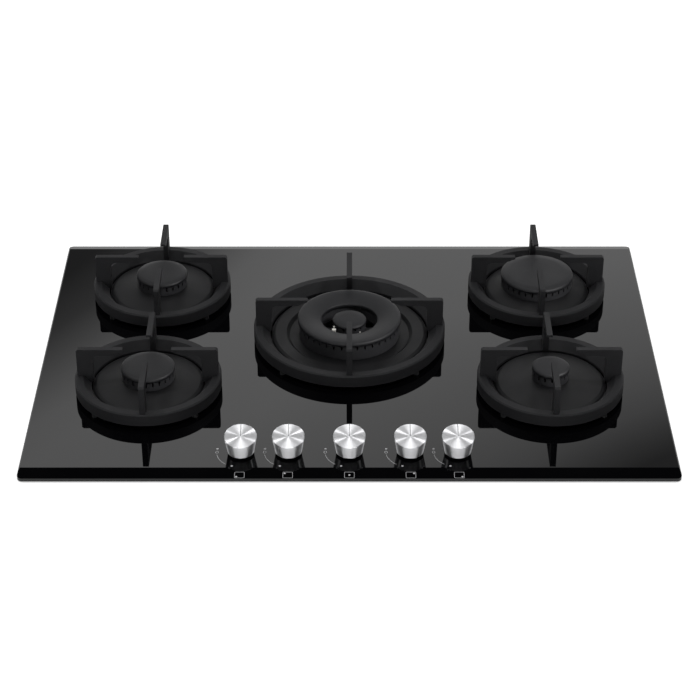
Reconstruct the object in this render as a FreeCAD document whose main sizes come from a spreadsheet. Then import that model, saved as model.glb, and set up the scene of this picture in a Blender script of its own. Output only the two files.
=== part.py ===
"""Built-in gas hob, 750 x 520 mm: a black glass top with five burners, five cast-iron
pan supports and five tilted metal knobs, over a steel box that hangs in the worktop cut-out.

The origin is the middle of the worktop's surface, +X to the cook's right, +Y to the wall
and +Z up. Pieces of a burner or of a tap are drawn about their own axis with height 0 at
the top of the glass, and are then placed. All sizes are in millimetres and degrees.
"""
import FreeCAD, Part
import math
import os
import Sketcher

SIZES = {
    # glass plate and the foam seal that it rests on
    "glass_length": 750, "glass_depth": 520, "glass_thickness": 6, "glass_corner": 6,
    "front_bevel_run": 18.5, "front_bevel_drop": 2, "rear_bevel_run": 9, "rear_bevel_drop": 1.2,
    "side_bevel_run": 1.5, "side_bevel_drop": 1, "seal_thickness": 1, "seal_width": 10, "seal_inset": 4,
    # sheet-steel box under the glass
    "box_length": 556, "box_depth": 476, "box_height": 48, "box_sheet": 0.8, "box_corner": 8,
    "box_flange": 7,
    # burner places
    "side_offset": 240, "front_row": -81, "rear_row": 135.5, "wok_row": 31,
    # holes in the glass
    "side_hole": 29.5, "wok_hole": 80, "spindle_hole": 6.5,
    # pan supports: a skirted ring with four fingers
    "ring_radius": 87.3, "ring_inside": 68, "wok_ring_radius": 118.3, "wok_ring_inside": 98.2,
    "ring_foot": 5.4, "ring_height": 20.5, "ring_wall": 7.8, "ring_skin": 4.6, "ring_edge": 1.6,
    "ring_flat": 8.7, "ring_inner_height": 10, "ring_lip": 3,
    "finger_setback": 3.3, "wok_finger_setback": 2.8, "finger_tip": 29, "wok_finger_tip": 51.5,
    "finger_height": 56.5, "finger_thickness": 6.8, "finger_depth": 8, "finger_post": 19.5,
    "finger_slant": 13, "finger_nose": 2.7, "finger_corner": 6, "finger_rounding": 2,
    "pad_radius": 3.5,
    # burner caps, crowns and cups
    "small_cap": 22.5, "semi_cap": 32.3, "rapid_cap": 46, "wok_cap": 64, "wok_cap_hole": 34.5,
    "wok_centre_cap": 21, "cap_crown": 33.4, "cap_shoulder": 32, "cap_seat": 27.2, "cap_rounding": 1.8,
    "cap_rim": 2.4, "cap_rim_wall": 2.5, "cap_skin": 4.6, "cap_overhang": 1, "cap_play": 0.5,
    "crown_wall": 2.8, "crown_floor": 2.8, "crown_skirt": 0.7, "crown_throat": 7, "crown_tube": 2,
    "port_width": 2, "port_height": 5.7, "cup_rim": 16.6, "cup_wall": 4, "cup_play": 0.6,
    "cup_stem": 22, "small_neck": 17.5, "cup_flange": 3, "side_flange": 36, "wok_flange": 88,
    "cup_drop": 34, "ear_width": 10, "ring_clamp": 34, "ring_clamp_play": 0.3, "ring_clamp_sheet": 3,
    "wok_crown_inside": 36, "wok_crown_floor": 8, "wok_cap_seat": 26.5, "wok_cup_floor": 11,
    "wok_cup_sheet": 3, "wok_post_inside": 9, "wok_post_wall": 5, "wok_arm_width": 10,
    "wok_arm_height": 3.5, "wok_stem": 20,
    # enamelled base plates
    "plate_sheet": 1.5, "side_plate": 66.5, "wok_plate": 96.5, "plate_throat_height": 15.5,
    "plate_edge_height": 10.5, "plate_round": 4.5, "plate_play": 0.3, "wok_plate_low": 6.5,
    "wok_plate_step_run": 4, "wok_plate_step": 78, "wok_plate_height": 9.8,
    "side_screw_circle": 26, "wok_screw_circle": 69, "boss_radius": 3.4, "boss_bore": 5,
    # ignition and flame failure parts
    "plug_radius": 2.6, "plug_tip_radius": 0.9, "plug_tip": 5, "plug_height": 24, "plug_gap": 4.9,
    "probe_radius": 2.2, "probe_height": 22, "hole_play": 1, "wok_plug_x": -19, "wok_plug_y": -21,
    "wok_probe_x": 13, "wok_probe_y": -26,
    # knobs
    "knob_row": -213, "inner_knob": 69.5, "outer_knob": 124, "knob_height": 23.5, "knob_tilt": 12.8,
    "knob_lip": 18.7, "knob_lip_depth": 2.4, "knob_top": 16.5, "knob_bottom": 15.25, "knob_gap": 2.8,
    "knob_recess": 11.5, "knob_recess_depth": 7, "knob_hub": 5.5, "knob_hub_gap": 0.4,
    "line_width": 0.9, "line_depth": 0.4, "knob_edge": 0.5,
    # taps, their plugs and spindles
    "tap_radius": 12, "tap_cover_top": -9, "tap_cover": 2.5, "tap_height": 26.5, "tap_floor": 3.5,
    "plug_body": 9, "turning_play": 0.05, "plug_rest": 0.2, "plug_top": -20, "spindle_radius": 4,
    "spindle_shoulder": 2.3, "spindle_end": 15, "flat_radius": 3, "flat_depth": 0.75,
    "spindle_foot": -23, "plug_bore": 6, "tang_length": 6.5, "tang_width": 4, "tang_span": 6.8,
    "slot_depth": 7, "inlet_level": -31, "inlet_boss": 6.5, "outlet_level": -17, "outlet_boss": 5,
    "outlet_reach": 20, "magnet_boss": 6, "magnet_reach": 24, "magnet_level": -25,
    # gas pipes
    "manifold_offset": 30, "manifold_radius": 8, "manifold_bore": 6.5, "manifold_left": -148,
    "manifold_leg": 130, "manifold_rear": 212, "manifold_bend": 24, "manifold_flat": 1.2,
    "manifold_flat_length": 18, "manifold_end": 3, "pipe_radius": 3, "pipe_bend": 14,
    "elbow_radius": 10.5, "elbow_socket": 9, "elbow_rear": 219, "thread_radius": 10.4775,
    "thread_length": 14, "elbow_collar": 13, "elbow_collar_depth": 3, "elbow_bore": 6.5, "elbow_step": 0.6,
    "front_pipe_lane": -160, "rear_pipe_lane": -144, "rear_pipe_side": 150,
    "cup_boss": 6, "cup_boss_reach": 8, "injector_radius": 3.5, "injector_height": 10,
    # fixings and electrical parts
    "screw_radius": 2, "screw_head": 3.8, "screw_head_depth": 2.4, "screw_play": 0.2,
    "clamp_offset": 180, "clamp_width": 20, "clamp_sheet": 2, "clamp_inner": 26, "clamp_outer": 18,
    "clamp_lip": 8, "clamp_screw": 12, "bracket_width": 12, "bracket_body": 20, "bracket_foot": 36,
    "bracket_sheet": 2, "bracket_left": -46, "bracket_right": 24,
    "switch_width": 22, "switch_depth": 18, "switch_height": 7, "switch_hole": 5,
    "generator_x": -70, "generator_y": 185, "generator_length": 64, "generator_depth": 40,
    "generator_height": 24, "generator_ear": 9, "ear_sheet": 3, "outlet_count": 5, "outlet_radius": 3,
    "outlet_height": 5, "terminal_x": 40, "terminal_y": 200, "terminal_length": 38,
    "terminal_depth": 22, "terminal_height": 17, "wire_hole": 2.5,
}

doc = FreeCAD.newDocument("gas_hob")
sheet = doc.addObject("Spreadsheet::Sheet", "Sizes")
for row, (alias, number) in enumerate(SIZES.items(), start=1):
    sheet.set(f"A{row}", alias)
    sheet.set(f"B{row}", str(number))
    sheet.setAlias(f"B{row}", alias)
doc.recompute()


class Size:
    """A size worked out from the sheet: its number now, and the expression that gives it."""

    def __init__(self, value, text):
        self.value = value
        self.text = text

    def __add__(self, other):
        other = plain(other)
        return Size(self.value + other.value, f"({self.text} + {other.text})")

    def __sub__(self, other):
        other = plain(other)
        return Size(self.value - other.value, f"({self.text} - {other.text})")

    def __mul__(self, other):
        other = plain(other)
        return Size(self.value * other.value, f"({self.text} * {other.text})")

    def __truediv__(self, other):
        other = plain(other)
        return Size(self.value / other.value, f"({self.text} / {other.text})")

    def __neg__(self):
        return Size(-self.value, f"(0 - {self.text})")

    __radd__ = __add__
    __rmul__ = __mul__


class Sheet:
    """Reads a size from the sheet by its name."""

    def __getattr__(self, alias):
        return Size(float(sheet.get(alias)), f"Sizes.{alias}")


def plain(number):
    return number if isinstance(number, Size) else Size(float(number), repr(float(number)))


def cosine(angle):
    angle = plain(angle)
    return Size(math.cos(math.radians(angle.value)), f"cos({angle.text})")


def sine(angle):
    angle = plain(angle)
    return Size(math.sin(math.radians(angle.value)), f"sin({angle.text})")


mm = Sheet()
ZERO = plain(0)
glass_top = mm.seal_thickness + mm.glass_thickness
glass_under = -mm.glass_thickness
box_floor = mm.box_sheet - mm.box_height


# ---- working parts of the model: sketches, features and placing ----

def bind(item, name, size):
    item.setExpression(name, plain(size).text)


def place(item, x=ZERO, y=ZERO, z=ZERO):
    """Moves a piece to its place, bound to the sheet."""
    for axis, size in zip("xyz", (x, y, z)):
        bind(item, f"Placement.Base.{axis}", size)
    return item


def turn(item, axis, angle):
    """Turns a piece about an axis through its own origin."""
    item.Placement.Rotation = FreeCAD.Rotation(axis, plain(angle).value)
    bind(item, "Placement.Rotation.Angle", angle)
    return item


def body(label):
    item = doc.addObject("PartDesign::Body", label)
    item.Label = label
    return item


def new_sketch(part, role):
    plane = [item for item in part.Origin.OriginFeatures if item.Role == role][0]
    sketch = part.newObject("Sketcher::SketchObject", f"{part.Name}_sketch")
    sketch.AttachmentSupport = [(plane, "")]
    sketch.MapMode = "FlatFace"
    return sketch


def hold_point(sketch, line, end, x, y):
    """Dimensions one end of a line from the sketch's origin."""
    for kind, axis, size in (("DistanceX", -2, plain(x)), ("DistanceY", -1, plain(y))):
        if size.text == ZERO.text:
            sketch.addConstraint(Sketcher.Constraint("PointOnObject", line, end, axis))
            continue
        index = sketch.addConstraint(Sketcher.Constraint(kind, -1, 1, line, end, size.value))
        bind(sketch, f"Constraints[{index}]", size)


def outline(part, role, corners, sketch=None):
    """A closed outline of straight lines through the corners."""
    sketch = sketch or new_sketch(part, role)
    first = sketch.GeometryCount
    points = [FreeCAD.Vector(plain(x).value, plain(y).value, 0) for x, y in corners]
    count = len(points)
    lines = [Part.LineSegment(points[i], points[(i + 1) % count]) for i in range(count)]
    sketch.addGeometry(lines, False)
    sketch.addConstraint([Sketcher.Constraint("Coincident", first + i, 2, first + (i + 1) % count, 1)
                          for i in range(count)])
    for i, (x, y) in enumerate(corners):
        hold_point(sketch, first + i, 1, x, y)
    return sketch


def rectangle(part, role, low, high, sketch=None):
    corners = [(low[0], low[1]), (high[0], low[1]), (high[0], high[1]), (low[0], high[1])]
    return outline(part, role, corners, sketch)


def circles(part, role, places, sketch=None):
    """Circles, each given as its centre and radius."""
    sketch = sketch or new_sketch(part, role)
    up = FreeCAD.Vector(0, 0, 1)
    for x, y, radius in places:
        x, y, radius = plain(x), plain(y), plain(radius)
        circle = sketch.addGeometry(Part.Circle(FreeCAD.Vector(x.value, y.value, 0), up, radius.value))
        index = sketch.addConstraint(Sketcher.Constraint("Radius", circle, radius.value))
        bind(sketch, f"Constraints[{index}]", radius)
        hold_point(sketch, circle, 3, x, y)
    return sketch


def feature(part, kind, sketch):
    item = part.newObject(f"PartDesign::{kind}", f"{part.Name}_{kind.lower()}")
    item.Profile = sketch
    sketch.Visibility = False
    return item


def revolve(part, corners):
    """Turns an outline of (radius, height) corners about the piece's axis."""
    sketch = outline(part, "XZ_Plane", corners)
    item = feature(part, "Revolution", sketch)
    item.ReferenceAxis = (sketch, ["V_Axis"])
    item.Angle = 360
    return item


def pad(part, sketch, length, symmetric=False, reverse=False):
    item = feature(part, "Pad", sketch)
    item.SideType = "Symmetric" if symmetric else "One side"
    item.Reversed = reverse
    bind(item, "Length", length)
    return item


def pocket(part, sketch, length, symmetric=False, reverse=False):
    """Cuts a sketch out of the piece and makes sure that it took something away."""
    doc.recompute()
    before = part.Shape.Volume
    item = feature(part, "Pocket", sketch)
    item.SideType = "Symmetric" if symmetric else "One side"
    item.Reversed = reverse
    bind(item, "Length", length)
    doc.recompute()
    if part.Shape.Volume >= before:
        raise RuntimeError(f"{item.Name} cuts nothing")
    return item


def around(part, item, count):
    """Repeats a feature evenly about the piece's axis."""
    axis = [plane for plane in part.Origin.OriginFeatures if plane.Role == "Z_Axis"][0]
    pattern = part.newObject("PartDesign::PolarPattern", f"{part.Name}_around")
    pattern.Originals = [item]
    pattern.Axis = (axis, [""])
    pattern.Angle = 360
    pattern.Occurrences = count
    part.Tip = pattern
    return pattern


def rounded(part, item, radius, wanted):
    """Rounds the edges for which wanted(edge) is true."""
    doc.recompute()
    names = [f"Edge{i}" for i, edge in enumerate(item.Shape.Edges, start=1) if wanted(edge)]
    fillet = part.newObject("PartDesign::Fillet", f"{part.Name}_fillet")
    fillet.Base = (item, names)
    bind(fillet, "Radius", radius)
    return fillet


def upright(edge):
    ends = edge.Vertexes
    return (len(ends) == 2 and abs(ends[0].X - ends[1].X) < 1e-6 and abs(ends[0].Y - ends[1].Y) < 1e-6)


def circle_at(radius, height):
    """Picks the full circle of that radius and height about the piece's axis."""
    radius, height = plain(radius).value, plain(height).value

    def wanted(edge):
        return (isinstance(edge.Curve, Part.Circle) and abs(edge.Curve.Radius - radius) < 1e-6
                and abs(edge.Curve.Center.z - height) < 1e-6)
    return wanted


def solid(kind, label, **sizes):
    """A simple solid with its sizes bound to the sheet."""
    item = doc.addObject(f"Part::{kind}", label)
    for name, size in sizes.items():
        bind(item, name, size)
    return item


def cut(base, tool, label):
    item = doc.addObject("Part::Cut", label)
    item.Base, item.Tool = base, tool
    return item


def fuse(parts, label):
    item = doc.addObject("Part::MultiFuse", label)
    item.Shapes = parts
    return item


def group(label, pieces):
    """Like pieces that share one node, each still a solid of its own."""
    item = doc.addObject("Part::Compound", label)
    item.Links = pieces
    return item


nodes = []


def node(item, label=None):
    item.Label = label or item.Label
    nodes.append(item)
    return item


# ---- glass top and its seal ----

half_length = mm.glass_length / 2
half_depth = mm.glass_depth / 2
knob_places = [-mm.outer_knob, -mm.inner_knob, ZERO, mm.inner_knob, mm.outer_knob]
side_burners = {
    "left_front": (-mm.side_offset, mm.front_row, mm.semi_cap, mm.cup_stem),
    "left_rear": (-mm.side_offset, mm.rear_row, mm.semi_cap, mm.cup_stem),
    "right_front": (mm.side_offset, mm.front_row, mm.small_cap, mm.small_neck),
    "right_rear": (mm.side_offset, mm.rear_row, mm.rapid_cap, mm.cup_stem),
}


def make_glass():
    """Toughened glass with cut-outs and ground edges: a wide bevel in front, a narrow one behind."""
    part = body("glass_top")
    plate = rectangle(part, "XY_Plane", (-half_length, -half_depth), (half_length, half_depth))
    block = pad(part, plate, mm.glass_thickness)
    rounded(part, block, mm.glass_corner, upright)
    holes = [(x, y, mm.side_hole) for x, y, cap, neck in side_burners.values()]
    holes.append((ZERO, mm.wok_row, mm.wok_hole))
    holes += [(x, mm.knob_row, mm.spindle_hole) for x in knob_places]
    pocket(part, circles(part, "XY_Plane", holes), mm.glass_thickness, reverse=True)
    face = mm.glass_thickness
    for side, run, drop in ((-1, mm.front_bevel_run, mm.front_bevel_drop),
                            (1, mm.rear_bevel_run, mm.rear_bevel_drop)):
        edge = side * half_depth
        slope = run * (-side)
        wedge = outline(part, "YZ_Plane", [(edge + slope, face), (edge, face - drop),
                                           (edge - slope * 0.2, face)])
        pocket(part, wedge, mm.glass_length + 2, symmetric=True)
    for side in (-1, 1):
        edge = side * half_length
        slope = mm.side_bevel_run * (-side)
        wedge = outline(part, "XZ_Plane", [(edge + slope, face), (edge, face - mm.side_bevel_drop),
                                           (edge - slope, face)])
        pocket(part, wedge, mm.glass_depth + 2, symmetric=True)
    return place(part, z=mm.seal_thickness)


def make_seal():
    """Foam strip that goes round the underside of the glass and keeps water out of the cut-out."""
    part = body("worktop_seal")
    outer_x, outer_y = half_length - mm.seal_inset, half_depth - mm.seal_inset
    inner_x, inner_y = outer_x - mm.seal_width, outer_y - mm.seal_width
    sketch = rectangle(part, "XY_Plane", (-outer_x, -outer_y), (outer_x, outer_y))
    rectangle(part, "XY_Plane", (-inner_x, -inner_y), (inner_x, inner_y), sketch)
    pad(part, sketch, mm.seal_thickness)
    return part


node(make_glass())
node(make_seal())


# ---- sheet-steel box and what is fixed to it ----

box_x = mm.box_length / 2
box_y = mm.box_depth / 2
clamp_places = [(x, side) for x in (-mm.clamp_offset, mm.clamp_offset) for side in (-1, 1)]
manifold_y = mm.knob_row + mm.manifold_offset
bracket_screw = (mm.bracket_foot + mm.bracket_body) / 4
generator_screw = (mm.generator_length + mm.generator_ear) / 2
floor_screws = [(x, manifold_y + side * bracket_screw)
                for x in (mm.bracket_left, mm.bracket_right) for side in (-1, 1)]
floor_screws += [(mm.generator_x + side * generator_screw, mm.generator_y) for side in (-1, 1)]
clamp_screws = [(x, side * (box_y - mm.clamp_screw)) for x, side in clamp_places]


def make_box():
    """Pressed tray, open at the top, with a flange outside that lies against the glass."""
    part = body("burner_box")
    rim = mm.seal_thickness
    outer = rectangle(part, "XY_Plane", (-box_x, -box_y), (box_x, box_y))
    tray = pad(part, outer, mm.box_height + rim)
    rounded(part, tray, mm.box_corner, upright)
    inner_x, inner_y = box_x - mm.box_sheet, box_y - mm.box_sheet
    flange_x, flange_y = box_x + mm.box_flange, box_y + mm.box_flange
    frame = new_sketch(part, "XY_Plane")
    bind(frame, "AttachmentOffset.Base.z", mm.box_height + rim - mm.box_sheet)
    rectangle(part, "XY_Plane", (-flange_x, -flange_y), (flange_x, flange_y), frame)
    rectangle(part, "XY_Plane", (-inner_x, -inner_y), (inner_x, inner_y), frame)
    pad(part, frame, mm.box_sheet)
    hollow = new_sketch(part, "XY_Plane")
    bind(hollow, "AttachmentOffset.Base.z", mm.box_sheet)
    rectangle(part, "XY_Plane", (-inner_x, -inner_y), (inner_x, inner_y), hollow)
    pocket(part, hollow, mm.box_height + rim, reverse=True)
    hole = mm.screw_radius + mm.screw_play
    holes = [(x, y, hole) for x, y in floor_screws + clamp_screws]
    holes.append((mm.manifold_leg, mm.elbow_rear, mm.thread_radius + mm.hole_play))
    pocket(part, circles(part, "XY_Plane", holes), mm.box_sheet, reverse=True)
    return place(part, z=-mm.box_height)


def make_clamp(number, x, side):
    """Strap screwed to the box floor, with a lip that pulls up under the worktop."""
    part = body(f"clamp_{number}")
    inner, outer, lip = -mm.clamp_inner, mm.clamp_outer, mm.clamp_lip
    sketch = outline(part, "YZ_Plane", [(inner, -mm.clamp_sheet), (outer, -mm.clamp_sheet), (outer, lip),
                                        (outer - mm.clamp_sheet, lip),
                                         (outer - mm.clamp_sheet, 0), (inner, 0)])
    pad(part, sketch, mm.clamp_width, symmetric=True)
    hole = circles(part, "XY_Plane", [(0, -mm.clamp_screw, mm.screw_radius + mm.screw_play)])
    pocket(part, hole, mm.clamp_sheet)
    if side < 0:
        part.Placement.Rotation = FreeCAD.Rotation(FreeCAD.Vector(0, 0, 1), 180)
    return place(part, x, side * box_y, -mm.box_height)


def make_screw(name, length):
    """Pan-head screw with its head up, seated at height 0."""
    part = body(name)
    revolve(part, [(0, mm.screw_head_depth), (mm.screw_head * 0.7, mm.screw_head_depth),
                   (mm.screw_head, 0), (mm.screw_radius, 0), (mm.screw_radius, -length), (0, -length)])
    return part


def head_down(part):
    part.Placement.Rotation = FreeCAD.Rotation(FreeCAD.Vector(1, 0, 0), 180)
    return part


def make_bracket(number, x):
    """Saddle that carries the gas manifold above the box floor."""
    part = body(f"bracket_{number}")
    rise = mm.inlet_level - box_floor
    half_body, half_foot = mm.bracket_body / 2, mm.bracket_foot / 2
    sheet_top = mm.bracket_sheet
    sketch = outline(part, "YZ_Plane", [
        (-half_foot, 0), (half_foot, 0), (half_foot, sheet_top), (half_body, sheet_top),
        (half_body, rise), (-half_body, rise), (-half_body, sheet_top), (-half_foot, sheet_top)])
    pad(part, sketch, mm.bracket_width, symmetric=True)
    saddle = circles(part, "YZ_Plane", [(0, rise, mm.manifold_radius + mm.turning_play)])
    pocket(part, saddle, mm.bracket_width + 2, symmetric=True)
    holes = circles(part, "XY_Plane", [(0, side * bracket_screw, mm.screw_radius + mm.screw_play)
                                       for side in (-1, 1)])
    pocket(part, holes, mm.bracket_sheet, reverse=True)
    return place(part, x, manifold_y, box_floor)


def make_generator():
    """Ignition spark generator: a moulded box with two ears and one outlet for each burner."""
    part = body("ignition_generator")
    half_x, half_y = mm.generator_length / 2, mm.generator_depth / 2
    pad(part, rectangle(part, "XY_Plane", (-half_x, -half_y), (half_x, half_y)), mm.generator_height)
    ear_x, ear_y = half_x + mm.generator_ear, half_y / 2
    pad(part, rectangle(part, "XY_Plane", (-ear_x, -ear_y), (ear_x, ear_y)), mm.ear_sheet)
    outlets = new_sketch(part, "XY_Plane")
    bind(outlets, "AttachmentOffset.Base.z", mm.generator_height)
    pitch = mm.generator_length / mm.outlet_count
    count = int(mm.outlet_count.value)
    circles(part, "XY_Plane", [(pitch * (i + 0.5) - half_x, half_y / 2, mm.outlet_radius)
                               for i in range(count)], outlets)
    pad(part, outlets, mm.outlet_height)
    holes = circles(part, "XY_Plane", [(side * generator_screw, 0, mm.screw_radius + mm.screw_play)
                                       for side in (-1, 1)])
    pocket(part, holes, mm.ear_sheet, reverse=True)
    return place(part, mm.generator_x, mm.generator_y, box_floor)


def make_terminal_block():
    """Terminal block for the supply to the ignition, with three wire entries."""
    part = body("terminal_block")
    half_x, half_y = mm.terminal_length / 2, mm.terminal_depth / 2
    pad(part, rectangle(part, "XY_Plane", (-half_x, -half_y), (half_x, half_y)), mm.terminal_height)
    pitch = mm.terminal_length / 3
    middle = mm.terminal_height / 2
    entries = circles(part, "XZ_Plane", [(pitch * i, middle, mm.wire_hole) for i in (-1, 0, 1)])
    pocket(part, entries, half_y + 1, reverse=False)
    return place(part, mm.terminal_x, mm.terminal_y, box_floor)


node(make_box())
clamps = [make_clamp(i, x, side) for i, (x, side) in enumerate(clamp_places, start=1)]
node(group("hold_down_clamps", clamps))
node(group("manifold_brackets", [make_bracket(1, mm.bracket_left), make_bracket(2, mm.bracket_right)]))
node(make_generator())
node(make_terminal_block())

screws = []
for x, y in floor_screws:
    seat = mm.bracket_sheet if y.value < 0 else mm.ear_sheet
    screws.append(place(make_screw("floor_screw", mm.box_sheet + seat + 1), x, y, box_floor + seat))
for x, y in clamp_screws:
    screw = head_down(make_screw("clamp_screw", mm.clamp_sheet + mm.box_sheet + 3))
    screws.append(place(screw, x, y, -mm.box_height - mm.clamp_sheet))


# ---- gas manifold, inlet and supply pipes ----

def bent_path(sketch, corners, bend):
    """A path of straight runs along the sketch's axes, joined by arcs of one radius."""
    corners = [(plain(x), plain(y)) for x, y in corners]
    steps = []
    for (x0, y0), (x1, y1) in zip(corners, corners[1:]):
        reach = math.hypot(x1.value - x0.value, y1.value - y0.value)
        steps.append((round((x1.value - x0.value) / reach), round((y1.value - y0.value) / reach)))
    start = corners[0]
    previous = None
    for i, (step_x, step_y) in enumerate(steps):
        end_x, end_y = corners[i + 1]
        last = i == len(steps) - 1
        stop = (end_x, end_y) if last else (end_x - bend * step_x, end_y - bend * step_y)
        line = sketch.addGeometry(Part.LineSegment(FreeCAD.Vector(start[0].value, start[1].value, 0),
                                                   FreeCAD.Vector(stop[0].value, stop[1].value, 0)))
        hold_point(sketch, line, 1, *start)
        hold_point(sketch, line, 2, *stop)
        if previous is not None:
            sketch.addConstraint(Sketcher.Constraint("Coincident", previous[0], previous[1], line, 1))
        if last:
            break
        next_x, next_y = steps[i + 1]
        middle = FreeCAD.Vector(stop[0].value + bend.value * next_x, stop[1].value + bend.value * next_y, 0)
        left_turn = step_x * next_y - step_y * next_x > 0
        first = math.atan2(stop[1].value - middle.y, stop[0].value - middle.x)
        ends = (first, first + math.pi / 2) if left_turn else (first - math.pi / 2, first)
        circle = Part.Circle(middle, FreeCAD.Vector(0, 0, 1), bend.value)
        arc = sketch.addGeometry(Part.ArcOfCircle(circle, *ends))
        index = sketch.addConstraint(Sketcher.Constraint("Radius", arc, bend.value))
        bind(sketch, f"Constraints[{index}]", bend)
        near, far = (1, 2) if left_turn else (2, 1)
        sketch.addConstraint(Sketcher.Constraint("Coincident", line, 2, arc, near))
        previous = (arc, far)
        start = (end_x + bend * next_x, end_y + bend * next_y)
    return sketch


def make_manifold():
    """Steel tube along the taps and back to the gas inlet, with a flat milled for each tap."""
    part = body("gas_manifold")
    run = mm.manifold_leg - mm.manifold_left
    leg = mm.manifold_rear - manifold_y
    path = bent_path(new_sketch(part, "XY_Plane"), [(0, 0), (run, 0), (run, leg)], mm.manifold_bend)
    ring = circles(part, "YZ_Plane", [(0, 0, mm.manifold_radius), (0, 0, mm.manifold_bore)])
    doc.recompute()
    tube = feature(part, "AdditivePipe", ring)
    tube.Spine = (path, [f"Edge{i}" for i in range(1, len(path.Shape.Edges) + 1)])
    doc.recompute()
    pad(part, circles(part, "YZ_Plane", [(0, 0, mm.manifold_radius)]), mm.manifold_end)
    flats = new_sketch(part, "XY_Plane")
    half = mm.manifold_flat_length / 2
    for x in knob_places:
        middle = x - mm.manifold_left
        rectangle(part, "XY_Plane", (middle - half, -mm.manifold_radius - 1),
                  (middle + half, mm.manifold_flat - mm.manifold_radius), flats)
    pocket(part, flats, mm.manifold_radius * 2, symmetric=True)
    return place(part, mm.manifold_left, manifold_y, mm.inlet_level)


def make_elbow():
    """Brass elbow on the end of the manifold, with a pipe thread through the box floor."""
    part = body("inlet_elbow")
    bottom = -mm.box_height - mm.thread_length - mm.inlet_level
    floor = box_floor - mm.inlet_level
    collar_top = floor + mm.elbow_collar_depth
    revolve(part, [(0, mm.elbow_radius), (mm.elbow_radius, mm.elbow_radius), (mm.elbow_radius, collar_top),
                   (mm.elbow_collar, collar_top), (mm.elbow_collar, floor), (mm.thread_radius, floor),
                   (mm.thread_radius, bottom), (0, bottom)])
    reach = mm.elbow_rear - mm.manifold_rear + mm.elbow_socket
    pad(part, circles(part, "XZ_Plane", [(0, 0, mm.elbow_radius - mm.elbow_step)]), reach)
    socket = new_sketch(part, "XZ_Plane")
    bind(socket, "AttachmentOffset.Base.z", reach - mm.elbow_socket)
    circles(part, "XZ_Plane", [(0, 0, mm.manifold_radius + mm.turning_play)], socket)
    pocket(part, socket, mm.elbow_socket + 1, reverse=True)
    pocket(part, circles(part, "XZ_Plane", [(0, 0, mm.elbow_bore - mm.elbow_step)]), reach, reverse=True)
    pocket(part, circles(part, "XY_Plane", [(0, 0, mm.elbow_bore)]), -bottom + 1)
    return place(part, mm.manifold_leg, mm.elbow_rear, mm.inlet_level)


def pipe_route(number):
    """Corners of a supply pipe from its tap to its burner cup, seen from above."""
    tap_x = knob_places[number]
    tap_y = mm.knob_row + mm.outlet_reach
    boss = mm.cup_boss_reach
    side = -1 if number < 2 else 1
    burner_x = side * mm.side_offset
    if number == 2:
        return [(tap_x, tap_y), (tap_x, mm.wok_row - mm.wok_stem - boss)]
    if number in (0, 4):
        end = mm.front_row - mm.cup_stem - boss
        return [(tap_x, tap_y), (tap_x, mm.front_pipe_lane), (burner_x, mm.front_pipe_lane), (burner_x, end)]
    end = burner_x - side * (mm.cup_stem + boss)
    lane = side * mm.rear_pipe_side
    return [(tap_x, tap_y), (tap_x, mm.rear_pipe_lane), (lane, mm.rear_pipe_lane),
            (lane, mm.rear_row), (end, mm.rear_row)]


def make_pipe(number):
    """Bent aluminium tube from one tap to one burner, drawn solid because its ends are closed in."""
    part = body(f"supply_pipe_{number + 1}")
    route = pipe_route(number)
    start_x, start_y = route[0]
    corners = [(x - start_x, y - start_y) for x, y in route]
    corners[0] = (ZERO, ZERO)
    corners[1] = (ZERO, corners[1][1])
    path = bent_path(new_sketch(part, "XY_Plane"), corners, mm.pipe_bend)
    ring = circles(part, "XZ_Plane", [(0, 0, mm.pipe_radius)])
    doc.recompute()
    tube = feature(part, "AdditivePipe", ring)
    tube.Spine = (path, [f"Edge{i}" for i in range(1, len(path.Shape.Edges) + 1)])
    return place(part, start_x, start_y, mm.outlet_level)


node(make_manifold())
node(make_elbow())
node(group("supply_pipes", [make_pipe(number) for number in range(5)]))


# ---- gas taps: body, cover, turning plug, sliding spindle and knob ----

def make_tap(number, x):
    """Die-cast tap body: barrel, inlet seated on the manifold, outlet and safety-magnet bosses."""
    part = body(f"gas_tap_{number}")
    top = mm.tap_cover_top - mm.tap_cover
    bottom = top - mm.tap_height
    revolve(part, [(0, bottom), (mm.tap_radius, bottom), (mm.tap_radius, top), (0, top)])
    inlet = mm.manifold_offset - mm.manifold_radius + mm.manifold_flat
    pad(part, circles(part, "XZ_Plane", [(0, mm.inlet_level, mm.inlet_boss)]), inlet, reverse=True)
    outlet = circles(part, "XZ_Plane", [(0, mm.outlet_level, mm.outlet_boss)])
    pad(part, outlet, mm.outlet_reach, reverse=True)
    magnet = circles(part, "YZ_Plane", [(0, mm.magnet_level, mm.magnet_boss)])
    pad(part, magnet, mm.magnet_reach, reverse=True)
    chamber = new_sketch(part, "XY_Plane")
    bind(chamber, "AttachmentOffset.Base.z", top)
    circles(part, "XY_Plane", [(0, 0, mm.plug_body + mm.turning_play)], chamber)
    pocket(part, chamber, mm.tap_height - mm.tap_floor)
    return place(part, x, mm.knob_row)


def make_tap_cover(number, x):
    """Plate that closes the tap and guides the spindle."""
    part = body(f"tap_cover_{number}")
    top, bottom = mm.tap_cover_top, mm.tap_cover_top - mm.tap_cover
    bore = mm.spindle_radius + mm.turning_play
    revolve(part, [(bore, bottom), (mm.tap_radius, bottom), (mm.tap_radius, top), (bore, top)])
    return place(part, x, mm.knob_row)


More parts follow.
